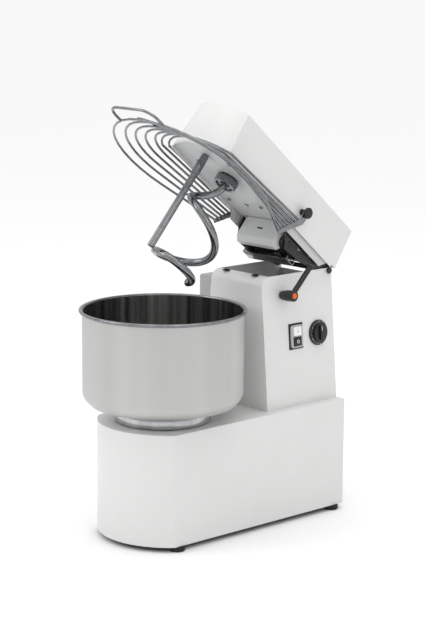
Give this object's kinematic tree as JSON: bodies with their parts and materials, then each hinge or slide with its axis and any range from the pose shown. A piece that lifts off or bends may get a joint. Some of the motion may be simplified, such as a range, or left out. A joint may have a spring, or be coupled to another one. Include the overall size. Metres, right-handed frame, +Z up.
{
  "type": "commercial stand mixer",
  "caption": "Floor standing spiral dough mixer with a tilting head, turning bowl, spiral hook, breaker bar, lifting wire guard, clamp lever, timer and switch.",
  "frame": {"origin": "centre of the bounding box on the floor, with the head raised", "axes": "+X to the operator's side with the lever and switch, -Y to the front where the bowl stands, +Z up"},
  "size_m": [0.4906, 0.885, 1.2164],
  "materials": {
    "white_paint": "white gloss powder coat",
    "grey_paint": "light grey powder coat",
    "black_steel": "black painted steel",
    "rubber": "black moulded rubber",
    "grey_plastic": "grey moulded plastic",
    "chrome": "polished stainless bar",
    "bowl_steel": "spun stainless sheet",
    "machine_steel": "turned steel",
    "cast_housing": "painted casting",
    "black_plastic": "black moulded plastic",
    "silver_plastic": "silver moulded plastic",
    "white_plastic": "white moulded plastic",
    "orange_plastic": "orange moulded plastic"
  },
  "bodies": {
    "frame": {"base_cover": "white_paint", "base_plate": "black_steel", "rubber_feet": "rubber", "column_shell": "white_paint", "back_panel": "white_paint", "inner_tray": "grey_paint", "electrical_box": "grey_plastic", "contactor": "grey_plastic", "cable_gland": "rubber", "cover_screws": "chrome", "hinge_pin": "chrome", "head_buffers": "rubber", "bowl_motor": "cast_housing", "bowl_reducer": "cast_housing", "bowl_chain": "machine_steel", "bearing_housing": "cast_housing", "turntable_bearings": "machine_steel", "switch_bezel": "silver_plastic", "timer_scale": "black_plastic", "timer_body": "grey_plastic", "clamp_stud": "chrome"},
    "turntable": {"turntable_shaft": "machine_steel", "turntable_sprocket": "machine_steel", "turntable_disc": "chrome"},
    "bowl": {"mixing_bowl": "bowl_steel"},
    "bowl_drive": {"bowl_drive_sprocket": "machine_steel"},
    "head": {"head_cover": "white_paint", "head_underplate": "grey_paint", "head_bracket": "black_steel", "latch_bar": "chrome", "mechanism_cover": "grey_paint", "stop_channel": "chrome", "channel_knobs": "black_plastic", "rear_skirts": "grey_paint", "hook_motor": "cast_housing", "hook_reducer": "cast_housing", "hook_chain": "machine_steel", "hook_housing": "cast_housing", "hook_bearings": "machine_steel", "breaker_bar": "chrome", "breaker_collar": "chrome", "guard_pivots": "black_plastic", "guard_switch": "grey_plastic"},
    "hook": {"hook_shaft": "machine_steel", "hook_sprocket": "machine_steel", "tool_chuck": "black_steel", "spiral_hook": "chrome"},
    "hook_drive": {"hook_drive_sprocket": "machine_steel"},
    "guard": {"guard_wires": "chrome", "guard_straps": "chrome", "guard_handle": "chrome"},
    "clamp_lever": {"clamp_lever": "black_plastic"},
    "clamp_button": {"clamp_button": "orange_plastic"},
    "start_button": {"start_button": "white_plastic"},
    "stop_button": {"stop_button": "black_plastic"},
    "timer_knob": {"timer_knob": "black_plastic"}
  },
  "joints": [
    {"name": "bowl_spin", "type": "hinge", "parent": "frame", "child": "turntable", "pos_m": [0, -0.208, 0.35], "axis": [0, 0, 1], "continuous": true},
    {"name": "bowl_lift", "type": "slide", "parent": "turntable", "child": "bowl", "axis": [0, 0, 1], "range_m": [0, 0.03]},
    {"name": "bowl_drive_spin", "type": "hinge", "parent": "frame", "child": "bowl_drive", "pos_m": [0, 0.06, 0.19], "axis": [0, 0, 1], "continuous": true},
    {"name": "head_tilt", "type": "hinge", "parent": "frame", "child": "head", "pos_m": [0, 0.343, 0.709], "axis": [-1, 0, 0], "range_deg": [-41, 0]},
    {"name": "hook_spin", "type": "hinge", "parent": "head", "child": "hook", "pos_m": [0, 0.03475, 0.99153], "axis": [0, 0.6561, 0.7547], "continuous": true},
    {"name": "hook_drive_spin", "type": "hinge", "parent": "head", "child": "hook_drive", "pos_m": [0, 0.20671, 0.9348], "axis": [0, 0.6561, 0.7547], "continuous": true},
    {"name": "guard_lift", "type": "hinge", "parent": "head", "child": "guard", "pos_m": [0, 0.2203, 0.89251], "axis": [-1, 0, 0], "range_deg": [0, 60]},
    {"name": "clamp_turn", "type": "hinge", "parent": "frame", "child": "clamp_lever", "pos_m": [0.13765, 0.146, 0.66249], "axis": [0.9965, 0, 0.083], "range_deg": [-65, 0]},
    {"name": "lever_press", "type": "slide", "parent": "clamp_lever", "child": "clamp_button", "axis": [-0.9965, 0, -0.083], "range_m": [0, 0.003], "stiffness_N_per_m": 600},
    {"name": "start_press", "type": "slide", "parent": "frame", "child": "start_button", "axis": [-0.9965, 0, -0.083], "range_m": [0, 0.003], "stiffness_N_per_m": 600},
    {"name": "stop_press", "type": "slide", "parent": "frame", "child": "stop_button", "axis": [-0.9965, 0, -0.083], "range_m": [0, 0.003], "stiffness_N_per_m": 600},
    {"name": "timer_turn", "type": "hinge", "parent": "frame", "child": "timer_knob", "pos_m": [0.12323, 0.288, 0.53441], "axis": [0.9965, 0, 0.083], "range_deg": [-300, 0]}
  ],
  "couplings": [
    {"joint": "bowl_drive_spin", "follows": "bowl_spin", "ratio": 2.6},
    {"joint": "hook_drive_spin", "follows": "hook_spin", "ratio": 1.7857}
  ]
}
